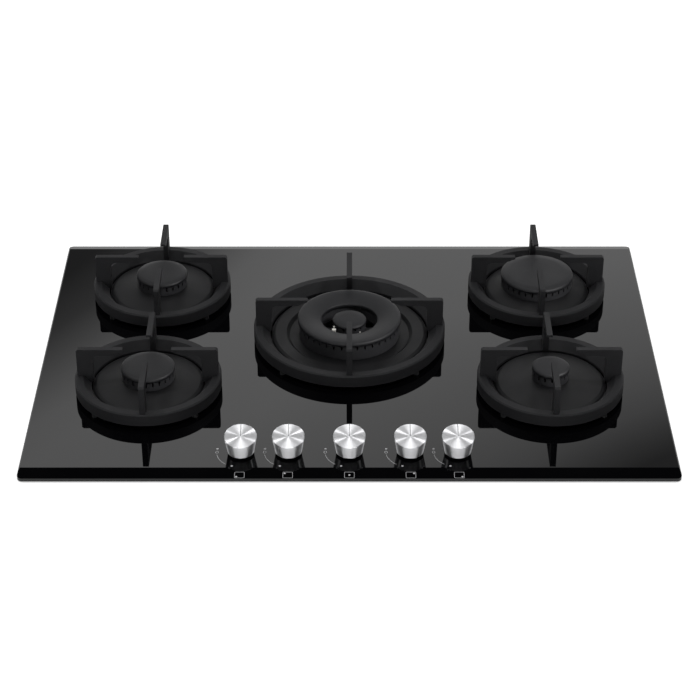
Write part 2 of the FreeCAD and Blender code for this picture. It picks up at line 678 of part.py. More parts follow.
def make_tap_plug(number, x):
    """Valve plug that turns in the tap, with a bore for the spindle and a slot for its tang."""
    part = body(f"tap_plug_{number}")
    floor = mm.tap_cover_top - mm.tap_cover - mm.tap_height + mm.tap_floor
    bottom = floor + mm.plug_rest
    bore = mm.spindle_radius + mm.turning_play
    bore_floor = mm.plug_top - mm.plug_bore
    revolve(part, [(0, bottom), (mm.plug_body, bottom), (mm.plug_body, mm.plug_top), (bore, mm.plug_top),
                   (bore, bore_floor), (0, bore_floor)])
    slot = new_sketch(part, "XY_Plane")
    bind(slot, "AttachmentOffset.Base.z", bore_floor)
    half_x, half_y = mm.tang_width / 2 + mm.turning_play, mm.tang_span / 2 + mm.turning_play
    rectangle(part, "XY_Plane", (-half_x, -half_y), (half_x, half_y), slot)
    pocket(part, slot, mm.slot_depth)
    return place(part, x, mm.knob_row)


def make_spindle(number, x):
    """Steel spindle: a tang at the foot, a round shank and a flatted end for the knob."""
    part = body(f"spindle_{number}")
    shoulder = glass_top + mm.spindle_shoulder
    end = glass_top + mm.spindle_end
    revolve(part, [(0, mm.spindle_foot), (mm.spindle_radius, mm.spindle_foot), (mm.spindle_radius, shoulder),
                   (mm.flat_radius, shoulder), (mm.flat_radius, end), (0, end)])
    tang = new_sketch(part, "XY_Plane")
    bind(tang, "AttachmentOffset.Base.z", mm.spindle_foot)
    half_x, half_y = mm.tang_width / 2, mm.tang_span / 2
    rectangle(part, "XY_Plane", (-half_x, -half_y), (half_x, half_y), tang)
    pad(part, tang, mm.tang_length, reverse=True)
    flat = new_sketch(part, "XY_Plane")
    bind(flat, "AttachmentOffset.Base.z", shoulder)
    reach = mm.flat_radius + 1
    rectangle(part, "XY_Plane", (-reach, mm.flat_radius - mm.flat_depth), (reach, reach), flat)
    pocket(part, flat, mm.spindle_end, reverse=True)
    return place(part, x, mm.knob_row)


def make_knob(number, x):
    """Turned metal knob: a tapered barrel cut off at a slant, with a thin lip round its face."""
    tilt_axis = FreeCAD.Vector(1, 0, 0)
    barrel_height = mm.knob_height + mm.knob_lip * sine(mm.knob_tilt) - mm.knob_gap
    barrel = place(solid("Cone", f"knob_{number}_barrel", Radius1=mm.knob_bottom, Radius2=mm.knob_top,
                         Height=barrel_height), z=mm.knob_gap)
    reach = mm.knob_lip * 2
    above = solid("Box", f"knob_{number}_above", Length=reach, Width=reach, Height=reach)
    half, lift = reach / 2, mm.knob_lip_depth / 2
    drop_y = -lift * sine(mm.knob_tilt)
    drop_z = lift * cosine(mm.knob_tilt)
    turn(above, tilt_axis, mm.knob_tilt)
    place(above, -half, -half * cosine(mm.knob_tilt) - drop_y,
          mm.knob_height - half * sine(mm.knob_tilt) - drop_z)
    slanted = cut(barrel, above, f"knob_{number}_slanted")
    lip = body(f"knob_{number}_lip")
    rim, edge, depth = mm.knob_lip, mm.knob_edge, mm.knob_lip_depth
    revolve(lip, [(0, 0), (rim - edge, 0), (rim, edge), (rim, depth - edge), (rim - edge, depth), (0, depth)])
    turn(lip, tilt_axis, mm.knob_tilt)
    place(lip, y=depth * sine(mm.knob_tilt), z=mm.knob_height - depth * cosine(mm.knob_tilt))
    whole = fuse([slanted, lip], f"knob_{number}_whole")
    recess = place(solid("Cylinder", f"knob_{number}_recess", Radius=mm.knob_recess,
                         Height=mm.knob_recess_depth), z=mm.knob_gap)
    hub = place(solid("Cylinder", f"knob_{number}_hub", Radius=mm.knob_hub,
                      Height=mm.knob_recess_depth), z=mm.knob_gap + mm.knob_hub_gap)
    hollow = cut(recess, hub, f"knob_{number}_hollow")
    bore = mm.flat_radius + mm.turning_play
    depth = mm.spindle_end - mm.knob_gap + 1
    socket = place(solid("Cylinder", f"knob_{number}_socket", Radius=bore, Height=depth), z=mm.knob_gap)
    flat = solid("Box", f"knob_{number}_flat", Length=bore * 2, Width=bore, Height=depth + 2)
    place(flat, -bore, mm.flat_radius - mm.flat_depth + mm.turning_play, mm.knob_gap - 1)
    keyed = cut(socket, flat, f"knob_{number}_keyed")
    line = turn(solid("Box", f"knob_{number}_line", Length=mm.line_width, Width=mm.knob_lip - 2,
                      Height=mm.line_depth * 2), tilt_axis, mm.knob_tilt)
    place(line, -mm.line_width / 2, mm.line_depth * sine(mm.knob_tilt),
          mm.knob_height - mm.line_depth * cosine(mm.knob_tilt))
    tools = fuse([hollow, keyed, line], f"knob_{number}_tools")
    return place(cut(whole, tools, f"knob_{number}"), x, mm.knob_row, glass_top)


def make_switch(number, x):
    """Ignition switch that clips round the spindle on top of the tap."""
    part = body(f"ignition_switch_{number}")
    half_x, half_y = mm.switch_width / 2, mm.switch_depth / 2
    sketch = rectangle(part, "XY_Plane", (-half_x, -half_y), (half_x, half_y))
    circles(part, "XY_Plane", [(0, 0, mm.switch_hole)], sketch)
    pad(part, sketch, mm.switch_height)
    return place(part, x, mm.knob_row, mm.tap_cover_top)


taps, covers, switches = [], [], []
for number, x in enumerate(knob_places, start=1):
    taps.append(make_tap(number, x))
    covers.append(make_tap_cover(number, x))
    switches.append(make_switch(number, x))
    node(make_tap_plug(number, x))
    node(make_spindle(number, x))
    node(make_knob(number, x))
node(group("gas_taps", taps))
node(group("tap_covers", covers))
node(group("ignition_switches", switches))


# ---- side burners ----

def plug_place(cap, angle):
    """Where a spark plug or probe stands beside a crown."""
    reach = cap + mm.plug_gap
    return reach * cosine(angle), reach * sine(angle)


PLUG_ANGLE = 72
PROBE_ANGLE = 108
SCREW_ANGLES = (30, 150, 270)


def ring_of(circle, radius):
    """Three equal circles round a burner, for its screws and bosses."""
    return [(circle * cosine(angle), circle * sine(angle), radius) for angle in SCREW_ANGLES]


def make_side_cup(name, x, y, cap, neck, boss_side):
    """Cast cup let into the glass from above: flange and two ears on the glass, stem below it."""
    part = body(f"burner_cup_{name}")
    bottom, stem, flange = -mm.cup_drop, mm.cup_stem, mm.cup_flange
    revolve(part, [(0, bottom), (stem, bottom), (stem, 0), (mm.side_flange, 0), (mm.side_flange, flange),
                   (neck, flange), (neck, mm.cup_rim), (0, mm.cup_rim)])
    for angle in (PLUG_ANGLE, PROBE_ANGLE):
        near, far, half = stem, cap + mm.plug_gap + mm.ear_width / 2, mm.ear_width / 2
        c, s = cosine(angle), sine(angle)
        ear = outline(part, "XY_Plane", [
            (near * c - half * s, near * s + half * c), (near * c + half * s, near * s - half * c),
            (far * c + half * s, far * s - half * c), (far * c - half * s, far * s + half * c)])
        pad(part, ear, flange)
    level = mm.outlet_level - glass_top
    role, reverse = {"front": ("XZ_Plane", False), "right": ("YZ_Plane", False),
                     "left": ("YZ_Plane", True)}[boss_side]
    boss = circles(part, role, [(0, level, mm.cup_boss)])
    pad(part, boss, stem + mm.cup_boss_reach, reverse=reverse)
    bowl = new_sketch(part, "XY_Plane")
    bind(bowl, "AttachmentOffset.Base.z", mm.cup_rim)
    circles(part, "XY_Plane", [(0, 0, neck - mm.cup_wall)], bowl)
    pocket(part, bowl, mm.cup_rim + mm.cup_drop - mm.cup_wall)
    holes = circles(part, "XY_Plane", ring_of(mm.side_screw_circle, mm.screw_radius + mm.screw_play))
    pocket(part, holes, flange, reverse=True)
    return place(part, x, y, glass_top)


def make_clamp_ring(name, x, y):
    """Steel ring under the glass that the screws pull up against the cup's flange."""
    part = body(f"clamp_ring_{name}")
    top, bottom = glass_under, glass_under - mm.ring_clamp_sheet
    inner = mm.cup_stem + mm.ring_clamp_play
    revolve(part, [(inner, bottom), (mm.ring_clamp, bottom), (mm.ring_clamp, top), (inner, top)])
    holes = circles(part, "XY_Plane", ring_of(mm.side_screw_circle, mm.screw_radius + mm.screw_play))
    pocket(part, holes, mm.cup_drop)
    return place(part, x, y, glass_top)


def make_injector(name, x, y, floor):
    """Brass injector that stands in the floor of a cup and points up the throat."""
    part = body(f"injector_{name}")
    radius, tall = mm.injector_radius, mm.injector_height
    revolve(part, [(0, 0), (radius, 0), (radius, tall * 0.6), (radius * 0.5, tall), (0, tall)])
    return place(part, x, y, floor + glass_top)


def make_side_plate(name, x, y, cap, neck):
    """Enamelled base plate: a shallow pressed dish, pulled down by three screws from below."""
    part = body(f"base_plate_{name}")
    throat, shelf = neck + mm.plate_play, cap - mm.cap_overhang + mm.plate_play
    edge, skin = mm.side_plate, mm.plate_sheet
    bend = edge - mm.plate_round
    high, low = mm.plate_throat_height, mm.plate_edge_height
    mid = mm.plate_round * 0.35
    revolve(part, [(throat, high), (shelf, high), (bend, low), (edge - mid, low - mid),
                   (edge, low - mm.plate_round * 0.8), (edge, 0), (edge - skin, 0),
                   (edge - skin, low - mm.plate_round), (edge - mid - skin * 0.7, low - mid - skin * 0.7),
                   (bend - skin * 0.2, low - skin), (shelf, high - skin), (throat, high - skin)])
    bosses = new_sketch(part, "XY_Plane")
    bind(bosses, "AttachmentOffset.Base.z", mm.cup_flange)
    circles(part, "XY_Plane", ring_of(mm.side_screw_circle, mm.boss_radius), bosses)
    pad(part, bosses, high - skin * 0.8 - mm.cup_flange)
    bores = new_sketch(part, "XY_Plane")
    bind(bores, "AttachmentOffset.Base.z", mm.cup_flange)
    circles(part, "XY_Plane", ring_of(mm.side_screw_circle, mm.screw_radius + mm.screw_play), bores)
    pocket(part, bores, mm.boss_bore + 1, reverse=True)
    plug_x, plug_y = plug_place(cap, PLUG_ANGLE)
    probe_x, probe_y = plug_place(cap, PROBE_ANGLE)
    holes = [(plug_x, plug_y, mm.plug_radius + mm.hole_play),
             (probe_x, probe_y, mm.probe_radius + mm.hole_play)]
    pocket(part, circles(part, "XY_Plane", holes), high + 1, reverse=True)
    return place(part, x, y, glass_top)


def make_crown(name, x, y, cap, neck, port_count):
    """Cast flame crown: a trough with a wall of flame ports and a throat tube down into the cup."""
    part = body(f"crown_{name}")
    outside = cap - mm.cap_overhang
    inside = outside - mm.crown_wall
    throat = mm.crown_throat
    tube = throat + mm.crown_tube
    seat, skirt = mm.cup_rim, mm.cup_rim - mm.crown_skirt
    floor = seat + mm.crown_floor
    revolve(part, [(throat, seat - 10), (tube, seat - 10), (tube, seat), (neck + mm.cup_play, seat),
                   (neck + mm.cup_play, skirt), (outside, skirt), (outside, mm.cap_seat),
                   (inside, mm.cap_seat), (inside, floor), (throat, floor)])
    half = mm.port_width / 2
    port = rectangle(part, "XZ_Plane", (-half, mm.cap_seat - mm.port_height), (half, mm.cap_seat + 1))
    around(part, pocket(part, port, cap + 1), port_count)
    return place(part, x, y, glass_top)


def eased(radius, height):
    """Three points that round the top edge of a cap in two flats."""
    bead = mm.cap_rounding
    return [(radius - bead, height), (radius - bead * 0.3, height - bead * 0.3), (radius, height - bead)]


def make_cap(name, x, y, cap, rim, seat):
    """Enamelled steel cap, slightly crowned, with a rim below that drops inside the crown."""
    part = body(f"cap_{name}")
    shoulder = mm.cap_shoulder
    revolve(part, [
        (0, mm.cap_crown), (cap * 0.5, mm.cap_crown), *eased(cap, shoulder), (cap, seat + 0.6),
        (cap - 0.6, seat), (rim, seat), (rim, seat - mm.cap_rim), (rim - mm.cap_rim_wall, seat - mm.cap_rim),
        (rim - mm.cap_rim_wall, mm.cap_crown - mm.cap_skin), (0, mm.cap_crown - mm.cap_skin)])
    return place(part, x, y, glass_top)


PORTS = {"left_front": 24, "left_rear": 24, "right_front": 16, "right_rear": 32}
BOSSES = {"left_front": "front", "left_rear": "right", "right_front": "front", "right_rear": "left"}
cups, clamp_rings, injectors, plugs, probes = [], [], [], [], []


def make_spark_plug(name, x, y, foot):
    """Ceramic spark plug with a pointed steel electrode."""
    part = body(f"spark_plug_{name}")
    shoulder = mm.plug_height - mm.plug_tip
    revolve(part, [(0, foot), (mm.plug_radius, foot), (mm.plug_radius, shoulder - 1),
                   (mm.plug_radius * 0.7, shoulder), (mm.plug_tip_radius, shoulder),
                   (mm.plug_tip_radius, mm.plug_height), (0, mm.plug_height)])
    return place(part, x, y, glass_top)


def make_probe(name, x, y, foot):
    """Thermocouple probe that holds the gas open while the flame heats it."""
    part = body(f"thermocouple_{name}")
    radius, tall = mm.probe_radius, mm.probe_height
    revolve(part, [(0, foot), (radius, foot), (radius, tall - 4), (radius * 0.7, tall - 3),
                   (radius * 0.7, tall - 1), (radius * 0.3, tall), (0, tall)])
    return place(part, x, y, glass_top)


def add_burner_screws(x, y, circle, length):
    """Three screws driven upwards, with their heads under the clamped sheet."""
    for px, py, radius in ring_of(circle, mm.screw_radius):
        screw = head_down(make_screw("burner_screw", length))
        screws.append(place(screw, x + px, y + py, glass_top + glass_under - mm.cup_flange))


for name, (x, y, cap, neck) in side_burners.items():
    cups.append(make_side_cup(name, x, y, cap, neck, BOSSES[name]))
    clamp_rings.append(make_clamp_ring(name, x, y))
    injectors.append(make_injector(name, x, y, mm.cup_wall - mm.cup_drop))
    node(make_side_plate(name, x, y, cap, neck))
    node(make_crown(name, x, y, cap, neck, PORTS[name]))
    rim = cap - mm.cap_overhang - mm.crown_wall - mm.cap_play
    node(make_cap(name, x, y, cap, rim, mm.cap_seat))
    plug_x, plug_y = plug_place(cap, PLUG_ANGLE)
    probe_x, probe_y = plug_place(cap, PROBE_ANGLE)
    plugs.append(make_spark_plug(name, x + plug_x, y + plug_y, mm.cup_flange))
    probes.append(make_probe(name, x + probe_x, y + probe_y, mm.cup_flange))
    add_burner_screws(x, y, mm.side_screw_circle,
                      mm.ring_clamp_sheet + mm.glass_thickness + mm.cup_flange + mm.boss_bore)


# ---- wok burner: two rings of flame ----

wok_neck = mm.wok_cap - 2 - mm.cup_wall
wok_crown = mm.wok_cap - 2


def make_wok_cup():
    """Wide cast tray with a centre post for the inner ring and a stem below for the gas."""
    part = body("burner_cup_wok")
    seat = mm.wok_crown_floor
    floor = -mm.wok_cup_floor
    under = floor - mm.wok_cup_sheet
    flange = glass_under - mm.cup_flange
    post = mm.wok_post_inside + mm.wok_post_wall
    inside = wok_neck - mm.cup_wall
    revolve(part, [(0, -mm.cup_drop), (mm.wok_stem, -mm.cup_drop), (mm.wok_stem, under), (wok_neck, under),
                   (wok_neck, flange), (mm.wok_flange, flange), (mm.wok_flange, glass_under),
                   (wok_neck, glass_under), (wok_neck, seat), (inside, seat), (inside, floor), (post, floor),
                   (post, seat), (mm.wok_post_inside, seat), (mm.wok_post_inside, mm.cup_wall - mm.cup_drop),
                   (0, mm.cup_wall - mm.cup_drop)])
    level = mm.outlet_level - glass_top
    boss = new_sketch(part, "XZ_Plane")
    bind(boss, "AttachmentOffset.Base.z", mm.wok_post_inside + 1)
    circles(part, "XZ_Plane", [(0, level, mm.cup_boss)], boss)
    pad(part, boss, mm.wok_stem + mm.cup_boss_reach - mm.wok_post_inside - 1)
    holes = ring_of(mm.wok_screw_circle, mm.screw_radius + mm.screw_play)
    pocket(part, circles(part, "XY_Plane", holes), mm.cup_drop)
    return place(part, ZERO, mm.wok_row, glass_top)


def make_wok_plate():
    """Enamelled base plate of the wok burner, low round the crown and stepped up to its rim."""
    part = body("base_plate_wok")
    throat = wok_neck + mm.plate_play
    edge, sheet_depth = mm.wok_plate, mm.plate_sheet
    low, high = mm.wok_plate_low, mm.wok_plate_height
    step, run = mm.wok_plate_step, mm.wok_plate_step_run
    bend = edge - mm.plate_round
    mid = mm.plate_round * 0.35
    revolve(part, [(throat, low), (step - run, low), (step, high), (bend, high), (edge - mid, high - mid),
                   (edge, high - mm.plate_round * 0.8), (edge, 0), (edge - sheet_depth, 0),
                   (edge - sheet_depth, high - mm.plate_round),
                   (edge - mid - sheet_depth * 0.7, high - mid - sheet_depth * 0.7),
                   (bend - sheet_depth * 0.2, high - sheet_depth),
                   (step + sheet_depth * 0.5, high - sheet_depth),
                   (step - run + sheet_depth * 0.5, low - sheet_depth), (throat, low - sheet_depth)])
    bosses = new_sketch(part, "XY_Plane")
    bind(bosses, "AttachmentOffset.Base.z", glass_under)
    circles(part, "XY_Plane", ring_of(mm.wok_screw_circle, mm.boss_radius), bosses)
    pad(part, bosses, low - sheet_depth / 2 - glass_under)
    bores = new_sketch(part, "XY_Plane")
    bind(bores, "AttachmentOffset.Base.z", glass_under)
    circles(part, "XY_Plane", ring_of(mm.wok_screw_circle, mm.screw_radius + mm.screw_play), bores)
    pocket(part, bores, mm.glass_thickness + low - 2 * sheet_depth, reverse=True)
    return place(part, ZERO, mm.wok_row, glass_top)


def make_wok_crown():
    """One casting with an outer trough, an inner trough and four arms that join them."""
    part = body("crown_wok")
    seat, top, wall = mm.wok_crown_floor, mm.wok_cap_seat, mm.crown_wall
    floor = seat + mm.crown_floor
    skirt = seat - mm.crown_skirt
    inner = mm.wok_crown_inside
    revolve(part, [(inner, seat), (wok_neck + mm.cup_play, seat), (wok_neck + mm.cup_play, skirt),
                   (wok_crown, skirt), (wok_crown, top), (wok_crown - wall, top), (wok_crown - wall, floor),
                   (inner + wall, floor), (inner + wall, top), (inner, top)])
    half = mm.wok_arm_width / 2
    reach = inner + wall / 2
    arms = new_sketch(part, "XY_Plane")
    bind(arms, "AttachmentOffset.Base.z", seat)
    outline(part, "XY_Plane", [(-reach, -half), (-half, -half), (-half, -reach), (half, -reach),
                               (half, -half),
                               (reach, -half), (reach, half), (half, half), (half, reach), (-half, reach),
                               (-half, half), (-reach, half)], arms)
    pad(part, arms, mm.wok_arm_height)
    centre = mm.wok_centre_cap - mm.cap_overhang
    revolve(part, [(mm.crown_throat, seat), (centre, seat), (centre, top), (centre - wall, top),
                   (centre - wall, floor), (mm.crown_throat, floor)])
    throat = circles(part, "XY_Plane", [(0, 0, mm.crown_throat)])
    pocket(part, throat, top, reverse=True)
    half = mm.port_width / 2
    low = top - mm.port_height
    outer_ports = new_sketch(part, "XZ_Plane")
    bind(outer_ports, "AttachmentOffset.Base.z", wok_crown - wall - 1)
    rectangle(part, "XZ_Plane", (-half, low), (half, top + 1), outer_ports)
    around(part, pocket(part, outer_ports, wall + 2, reverse=True), 40)
    inner_ports = new_sketch(part, "XZ_Plane")
    bind(inner_ports, "AttachmentOffset.Base.z", centre - wall - 1)
    rectangle(part, "XZ_Plane", (-half, low), (half, top + 1), inner_ports)
    around(part, pocket(part, inner_ports, inner + wall + 2 - centre, reverse=True), 16)
    return place(part, ZERO, mm.wok_row, glass_top)


def make_wok_cap():
    """Ring-shaped cap of the outer trough, with rounded edges."""
    part = body("cap_wok")
    outer, hole, seat = mm.wok_cap, mm.wok_cap_hole, mm.wok_cap_seat
    rim = wok_crown - mm.crown_wall - mm.cap_play
    crest = mm.cap_crown
    bead = mm.cap_rounding
    revolve(part, [
        (hole, seat), (hole, crest - bead), (hole + bead * 0.3, crest - bead * 0.3), (hole + bead, crest),
        (hole + 16, crest), *eased(outer, crest - 1.4), (outer, seat + 0.6), (outer - 0.6, seat), (rim, seat), (rim, seat - mm.cap_rim),
        (rim - mm.cap_rim_wall, seat - mm.cap_rim), (rim - mm.cap_rim_wall, crest - mm.cap_skin),
        (hole + 8, crest - mm.cap_skin), (hole + 8, seat)])
    return place(part, ZERO, mm.wok_row, glass_top)


cups.append(make_wok_cup())
injectors.append(make_injector("wok", ZERO, mm.wok_row, mm.cup_wall - mm.cup_drop))
node(make_wok_plate())
node(make_wok_crown())
node(make_wok_cap())
centre_rim = mm.wok_centre_cap - mm.cap_overhang - mm.crown_wall - mm.cap_play
node(make_cap("wok_centre", ZERO, mm.wok_row, mm.wok_centre_cap, centre_rim, mm.wok_cap_seat))
plugs.append(make_spark_plug("wok", mm.wok_plug_x, mm.wok_row + mm.wok_plug_y, -mm.wok_cup_floor))
probes.append(make_probe("wok", mm.wok_probe_x, mm.wok_row + mm.wok_probe_y, -mm.wok_cup_floor))
add_burner_screws(ZERO, mm.wok_row, mm.wok_screw_circle, mm.cup_flange + mm.glass_thickness + 2)
for label, pieces in (("burner_cups", cups), ("clamp_rings", clamp_rings), ("injectors", injectors),
                      ("spark_plugs", plugs), ("thermocouples", probes), ("fixing_screws", screws)):
    node(group(label, pieces))


# ---- pan supports and their rubber feet ----

def make_pan_support(name, x, y, outer, inner, tip, setback):
    """Cast-iron pan support: a hollow ring with a sloping inside and four fingers on posts."""
    part = body(f"pan_support_{name}")
    foot, top, edge = mm.ring_foot, mm.ring_height, mm.ring_edge
    land = outer - mm.ring_wall
    shelf = outer - edge - mm.ring_flat
    low, lip, skin = mm.ring_inner_height, mm.ring_lip, mm.ring_skin
    revolve(part, [(outer, foot), (outer, top - edge), (outer - edge, top), (shelf, top), (inner, low),
                   (inner, low - lip), (inner + lip, low - lip), (land, top - skin), (land, foot)])
    back = outer - setback
    high, under = mm.finger_height, mm.finger_height - mm.finger_depth
    post = back - mm.finger_post
    foot_in = inner + lip
    round_off, corner = mm.finger_rounding, mm.finger_corner
    seat = low + 1
    finger = outline(part, "XZ_Plane", [
        (back, top - skin / 2), (back, high - round_off), (back - round_off, high), (tip, high),
        (tip, high - mm.finger_nose), (tip + mm.finger_slant, under), (post - corner, under),
        (post - corner * 0.3, under - corner * 0.3), (post, under - corner), (post, seat + 1.5),
        (foot_in, seat), (land, top - skin / 2)])
    around(part, pad(part, finger, mm.finger_thickness, symmetric=True), 4)
    return place(part, x, y, glass_top)


def make_feet(name, x, y, outer):
    """Four rubber feet that stand under the ring and keep the iron off the glass."""
    circle = outer - mm.ring_wall / 2
    pads = []
    for i, angle in enumerate((45, 135, 225, 315), start=1):
        item = solid("Cylinder", f"foot_{name}_{i}", Radius=mm.pad_radius, Height=mm.ring_foot)
        pads.append(place(item, x + circle * cosine(angle), y + circle * sine(angle), glass_top))
    return group(f"support_feet_{name}", pads)


for name, (x, y, cap, neck) in side_burners.items():
    node(make_pan_support(name, x, y, mm.ring_radius, mm.ring_inside, mm.finger_tip, mm.finger_setback))
    node(make_feet(name, x, y, mm.ring_radius))
node(make_pan_support("wok", ZERO, mm.wok_row, mm.wok_ring_radius, mm.wok_ring_inside, mm.wok_finger_tip,
                      mm.wok_finger_setback))
node(make_feet("wok", ZERO, mm.wok_row, mm.wok_ring_radius))


# ---- check and write ----

doc.recompute()
for item in doc.Objects:
    if {"Invalid", "Error"} & set(item.State):
        raise RuntimeError(f"{item.Name} failed: {item.State}")
for item in nodes:
    if item.Shape.isNull() or not item.Shape.isValid() or not item.Shape.Solids:
        raise RuntimeError(f"{item.Label} has no valid shape")

os.makedirs("parts", exist_ok=True)
for item in nodes:
    item.Shape.exportStep(os.path.join("parts", f"{item.Label}.step"))
print(len(nodes), "nodes,", sum(len(item.Shape.Solids) for item in nodes), "solids")
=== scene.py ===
"""A built-in gas hob of the 750 mm class, dressed for the studio.

The pieces come in the order in which the hob is put together: glass, seal, box, gas train,
burners, pan supports and knobs. Lengths are in metres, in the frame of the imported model.
"""
import bmesh
import bpy
import math
from mathutils import Matrix, Vector


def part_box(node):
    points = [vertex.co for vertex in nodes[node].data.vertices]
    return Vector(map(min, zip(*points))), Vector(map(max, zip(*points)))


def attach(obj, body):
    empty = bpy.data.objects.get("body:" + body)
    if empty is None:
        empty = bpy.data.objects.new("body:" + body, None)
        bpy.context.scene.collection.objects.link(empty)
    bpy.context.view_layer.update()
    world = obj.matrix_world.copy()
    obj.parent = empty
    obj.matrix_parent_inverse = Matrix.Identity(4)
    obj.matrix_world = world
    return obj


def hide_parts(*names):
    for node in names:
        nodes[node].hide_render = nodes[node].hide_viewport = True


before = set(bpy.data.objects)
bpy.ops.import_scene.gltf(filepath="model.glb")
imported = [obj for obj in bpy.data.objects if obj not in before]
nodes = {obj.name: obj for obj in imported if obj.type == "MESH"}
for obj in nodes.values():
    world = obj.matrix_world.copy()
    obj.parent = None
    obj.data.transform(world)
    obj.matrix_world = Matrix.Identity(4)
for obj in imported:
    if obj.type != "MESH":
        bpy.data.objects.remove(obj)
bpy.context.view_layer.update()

# Camera: a long lens on the hob's centre line, 33 degrees above the worktop, as for a
# catalogue picture. It is turned down only, so uprights stay upright.
lens_mm, film_mm, look_down = 103.92, 36, 32.985
product_lens = bpy.data.cameras.new("product_lens")
product_lens.lens, product_lens.sensor_width = lens_mm, film_mm
product_camera = bpy.data.objects.new("product_camera", product_lens)
product_camera.location = (0.00075, -2.0888, 1.3646)
product_camera.rotation_euler = (math.radians(90 - look_down), 0, 0)
bpy.context.collection.objects.link(product_camera)
bpy.context.scene.camera = product_camera
bpy.context.scene.view_settings.view_transform = "Standard"

# Studio: a white wall behind the hob, a card over the knobs and one in front of them, dark sides,
# and two black flags that shade two corners of the glass. The cards show only in first reflections,
# so a knob's image in the glass stays dark. One softbox of three lights only the burners' metal.


def add(tree, kind, values=None, links=None, **settings):
    """Adds one shader node with its settings, input values and input links."""
    made = tree.nodes.new("ShaderNode" + kind)
    for name, setting in settings.items():
        setattr(made, name, setting)
    for socket, value in (values or {}).items():
        made.inputs[socket].default_value = value
    for socket, source in (links or {}).items():
        tree.links.new(source, made.inputs[socket])
    return made


studio = bpy.data.worlds.new("studio")
bpy.context.scene.world = studio
studio.use_nodes = True
sky = studio.node_tree
sky.nodes.clear()
direction = add(sky, "TexCoord").outputs["Generated"]
ways = add(sky, "SeparateXYZ", links={0: direction})
turn = add(sky, "Math", links={0: ways.outputs["X"], 1: ways.outputs["Y"]}, operation="ARCTAN2")
from_back = add(sky, "Math", links={0: turn.outputs[0]}, operation="ABSOLUTE").outputs[0]
sine = ways.outputs["Z"]
# Soft edges, as radians from straight back and as the sine of the angle over the table. Those of
# the strip run across and along a ceiling one metre up.
wall_side, wall_top, low_side, low_top = (0.40, 0.50), (0.61, 0.68), (0.95, 1.10), (0.18, 0.28)
strip_side, strip_back, strip_front, strip_low = (0.15, 0.27), (0.68, 0.78), (-1.6, -1.3), (0.2, 0.3)
card_side, card_top, second_reflection = (2.30, 2.50), (0.30, 0.45), (2.2, 2.8)
wall_level, unlit_level, low_level, strip_level, card_level = 1.15, 0.01, 0.8, 2.2, 4.2
# Each flag: its middle on that ceiling, its turn in degrees, its size, and its shade at shares of
# twice that size.
flags = (
    ((-0.3615, 1.787, 0), -27.1, (0.221, 0.516, 1),
     ((0.30, 0.10), (0.42, 0.24), (0.5, 0.5), (0.62, 0.92), (0.7, 1.0))),
    ((0.3493, 1.2417, 0), 35.8, (0.3315, 0.221, 1),
     ((0.36, 0.16), (0.42, 0.30), (0.5, 0.53), (0.58, 0.66), (0.69, 0.80), (0.84, 0.9), (1.0, 1.0))),
)


def step(value, start, end, low=0.0, high=1.0):
    """A soft step of a value from one level to another."""
    made = add(sky, "MapRange", {"From Min": start, "From Max": end, "To Min": low, "To Max": high},
               {"Value": value}, interpolation_type="SMOOTHSTEP")
    return made.outputs[0]


def lit(*parts):
    """The product of several soft steps."""
    whole = parts[0]
    for part in parts[1:]:
        whole = add(sky, "Math", links={0: whole, 1: part}, operation="MULTIPLY").outputs[0]
    return whole


back_wall = lit(step(from_back, *wall_side, 1, 0), step(sine, *wall_top, 1, 0))
low_wall = lit(step(from_back, *low_side, 1, 0), step(sine, *low_top, 1, 0))
height = add(sky, "Math", {1: 0.05}, {0: sine}, operation="MAXIMUM")
on_ceiling = add(sky, "VectorMath", links={0: direction}, operation="SCALE")
sky.links.new(add(sky, "Math", {0: 1.0}, {1: height.outputs[0]}, operation="DIVIDE").outputs[0],
              on_ceiling.inputs["Scale"])
flat = add(sky, "VectorMath", {1: (1, 1, 0)}, {0: on_ceiling.outputs[0]}, operation="MULTIPLY")
across = add(sky, "SeparateXYZ", links={0: flat.outputs[0]})
sideways = add(sky, "Math", links={0: across.outputs["X"]}, operation="ABSOLUTE").outputs[0]
over_strip = lit(step(sideways, *strip_side, 1, 0), step(across.outputs["Y"], *strip_back, 1, 0),
                 step(across.outputs["Y"], *strip_front), step(sine, *strip_low))
for middle, angle, size, stops in flags:
    flag = add(sky, "Mapping", {"Location": middle, "Rotation": (0, 0, math.radians(angle)), "Scale": size},
               {"Vector": flat.outputs[0]}, vector_type="TEXTURE")
    away = add(sky, "VectorMath", links={0: flag.outputs[0]}, operation="LENGTH")
    half = add(sky, "Math", {1: 0.5}, {0: away.outputs["Value"]}, operation="MULTIPLY")
    shade = add(sky, "ValToRGB", links={0: half.outputs[0]})
    while len(shade.color_ramp.elements) < len(stops):
        shade.color_ramp.elements.new(0.5)
    for stop, (where, level) in zip(shade.color_ramp.elements, stops):
        stop.position, stop.color = where, (level, level, level, 1)
    back_wall = lit(back_wall, shade.outputs["Color"])
ray = add(sky, "LightPath")
first = step(ray.outputs["Ray Depth"], *second_reflection, 1, 0)
front_card = lit(first, step(from_back, *card_side), step(sine, *card_top, 1, 0))
mirrored = add(sky, "Math", {1: wall_level, 2: unlit_level}, {0: back_wall},
               operation="MULTIPLY_ADD").outputs[0]
for card, level in ((low_wall, low_level), (lit(first, over_strip), strip_level), (front_card, card_level)):
    mirrored = add(sky, "Math", {1: level}, {0: card, 2: mirrored}, operation="MULTIPLY_ADD").outputs[0]
soft_light = lit(step(sine, -0.2, 1.0, 0.25, 1.15), step(ways.outputs["Y"], -1.0, 0.4, 0.38, 1.0))
glossy = add(sky, "Mix", links={0: ray.outputs["Is Glossy Ray"], 2: soft_light, 3: mirrored})
